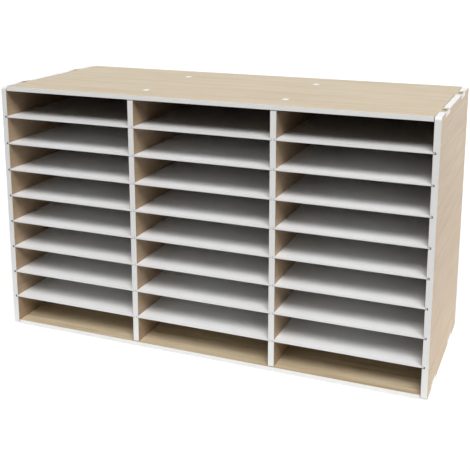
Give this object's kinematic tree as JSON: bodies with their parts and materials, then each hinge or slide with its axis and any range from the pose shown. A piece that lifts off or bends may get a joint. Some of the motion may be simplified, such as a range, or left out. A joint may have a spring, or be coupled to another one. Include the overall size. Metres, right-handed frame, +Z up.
{
  "type": "pigeonhole mail sorter",
  "caption": "Wide desk-top pigeonhole sorter of slot-together wood-faced boards, with columns of flat open pigeonholes between thin white shelves that slide out to the front.",
  "frame": {"origin": "centre of the footprint on the surface that the sorter stands on", "axes": "+X to the right seen from the front, +Y from the open front to the back, +Z up"},
  "size_m": [0.76, 0.3, 0.444],
  "materials": {
    "wood_faced_board": "light wood-grain foil on both faces of a white-cored board, cut edges white, satin",
    "white_shelf_board": "thin white coated fibreboard, smooth satin",
    "back_hardboard": "thin brown hardboard, bare and dull on both faces",
    "black_screw": "black phosphated steel, dull"
  },
  "bodies": {
    "carcass": {"left_side_board": "wood_faced_board", "right_side_board": "wood_faced_board", "top_board": "wood_faced_board", "bottom_board": "wood_faced_board", "left_divider": "wood_faced_board", "right_divider": "wood_faced_board", "back_board": "back_hardboard", "top_left_front_screw": "black_screw", "top_left_rear_screw": "black_screw", "top_right_front_screw": "black_screw", "top_right_rear_screw": "black_screw", "bottom_left_front_screw": "black_screw", "bottom_left_rear_screw": "black_screw", "bottom_right_front_screw": "black_screw", "bottom_right_rear_screw": "black_screw"},
    "left_shelf_1": {"left_shelf_1": "white_shelf_board"},
    "left_shelf_2": {"left_shelf_2": "white_shelf_board"},
    "left_shelf_3": {"left_shelf_3": "white_shelf_board"},
    "left_shelf_4": {"left_shelf_4": "white_shelf_board"},
    "left_shelf_5": {"left_shelf_5": "white_shelf_board"},
    "left_shelf_6": {"left_shelf_6": "white_shelf_board"},
    "left_shelf_7": {"left_shelf_7": "white_shelf_board"},
    "left_shelf_8": {"left_shelf_8": "white_shelf_board"},
    "middle_shelf_1": {"middle_shelf_1": "white_shelf_board"},
    "middle_shelf_2": {"middle_shelf_2": "white_shelf_board"},
    "middle_shelf_3": {"middle_shelf_3": "white_shelf_board"},
    "middle_shelf_4": {"middle_shelf_4": "white_shelf_board"},
    "middle_shelf_5": {"middle_shelf_5": "white_shelf_board"},
    "middle_shelf_6": {"middle_shelf_6": "white_shelf_board"},
    "middle_shelf_7": {"middle_shelf_7": "white_shelf_board"},
    "middle_shelf_8": {"middle_shelf_8": "white_shelf_board"},
    "right_shelf_1": {"right_shelf_1": "white_shelf_board"},
    "right_shelf_2": {"right_shelf_2": "white_shelf_board"},
    "right_shelf_3": {"right_shelf_3": "white_shelf_board"},
    "right_shelf_4": {"right_shelf_4": "white_shelf_board"},
    "right_shelf_5": {"right_shelf_5": "white_shelf_board"},
    "right_shelf_6": {"right_shelf_6": "white_shelf_board"},
    "right_shelf_7": {"right_shelf_7": "white_shelf_board"},
    "right_shelf_8": {"right_shelf_8": "white_shelf_board"}
  },
  "joints": [
    {"name": "left_shelf_1_slide", "type": "slide", "parent": "carcass", "child": "left_shelf_1", "axis": [0, -1, 0], "range_m": [0, 0.29]},
    {"name": "left_shelf_2_slide", "type": "slide", "parent": "carcass", "child": "left_shelf_2", "axis": [0, -1, 0], "range_m": [0, 0.29]},
    {"name": "left_shelf_3_slide", "type": "slide", "parent": "carcass", "child": "left_shelf_3", "axis": [0, -1, 0], "range_m": [0, 0.29]},
    {"name": "left_shelf_4_slide", "type": "slide", "parent": "carcass", "child": "left_shelf_4", "axis": [0, -1, 0], "range_m": [0, 0.29]},
    {"name": "left_shelf_5_slide", "type": "slide", "parent": "carcass", "child": "left_shelf_5", "axis": [0, -1, 0], "range_m": [0, 0.29]},
    {"name": "left_shelf_6_slide", "type": "slide", "parent": "carcass", "child": "left_shelf_6", "axis": [0, -1, 0], "range_m": [0, 0.29]},
    {"name": "left_shelf_7_slide", "type": "slide", "parent": "carcass", "child": "left_shelf_7", "axis": [0, -1, 0], "range_m": [0, 0.29]},
    {"name": "left_shelf_8_slide", "type": "slide", "parent": "carcass", "child": "left_shelf_8", "axis": [0, -1, 0], "range_m": [0, 0.29]},
    {"name": "middle_shelf_1_slide", "type": "slide", "parent": "carcass", "child": "middle_shelf_1", "axis": [0, -1, 0], "range_m": [0, 0.29]},
    {"name": "middle_shelf_2_slide", "type": "slide", "parent": "carcass", "child": "middle_shelf_2", "axis": [0, -1, 0], "range_m": [0, 0.29]},
    {"name": "middle_shelf_3_slide", "type": "slide", "parent": "carcass", "child": "middle_shelf_3", "axis": [0, -1, 0], "range_m": [0, 0.29]},
    {"name": "middle_shelf_4_slide", "type": "slide", "parent": "carcass", "child": "middle_shelf_4", "axis": [0, -1, 0], "range_m": [0, 0.29]},
    {"name": "middle_shelf_5_slide", "type": "slide", "parent": "carcass", "child": "middle_shelf_5", "axis": [0, -1, 0], "range_m": [0, 0.29]},
    {"name": "middle_shelf_6_slide", "type": "slide", "parent": "carcass", "child": "middle_shelf_6", "axis": [0, -1, 0], "range_m": [0, 0.29]},
    {"name": "middle_shelf_7_slide", "type": "slide", "parent": "carcass", "child": "middle_shelf_7", "axis": [0, -1, 0], "range_m": [0, 0.29]},
    {"name": "middle_shelf_8_slide", "type": "slide", "parent": "carcass", "child": "middle_shelf_8", "axis": [0, -1, 0], "range_m": [0, 0.29]},
    {"name": "right_shelf_1_slide", "type": "slide", "parent": "carcass", "child": "right_shelf_1", "axis": [0, -1, 0], "range_m": [0, 0.29]},
    {"name": "right_shelf_2_slide", "type": "slide", "parent": "carcass", "child": "right_shelf_2", "axis": [0, -1, 0], "range_m": [0, 0.29]},
    {"name": "right_shelf_3_slide", "type": "slide", "parent": "carcass", "child": "right_shelf_3", "axis": [0, -1, 0], "range_m": [0, 0.29]},
    {"name": "right_shelf_4_slide", "type": "slide", "parent": "carcass", "child": "right_shelf_4", "axis": [0, -1, 0], "range_m": [0, 0.29]},
    {"name": "right_shelf_5_slide", "type": "slide", "parent": "carcass", "child": "right_shelf_5", "axis": [0, -1, 0], "range_m": [0, 0.29]},
    {"name": "right_shelf_6_slide", "type": "slide", "parent": "carcass", "child": "right_shelf_6", "axis": [0, -1, 0], "range_m": [0, 0.29]},
    {"name": "right_shelf_7_slide", "type": "slide", "parent": "carcass", "child": "right_shelf_7", "axis": [0, -1, 0], "range_m": [0, 0.29]},
    {"name": "right_shelf_8_slide", "type": "slide", "parent": "carcass", "child": "right_shelf_8", "axis": [0, -1, 0], "range_m": [0, 0.29]}
  ]
}
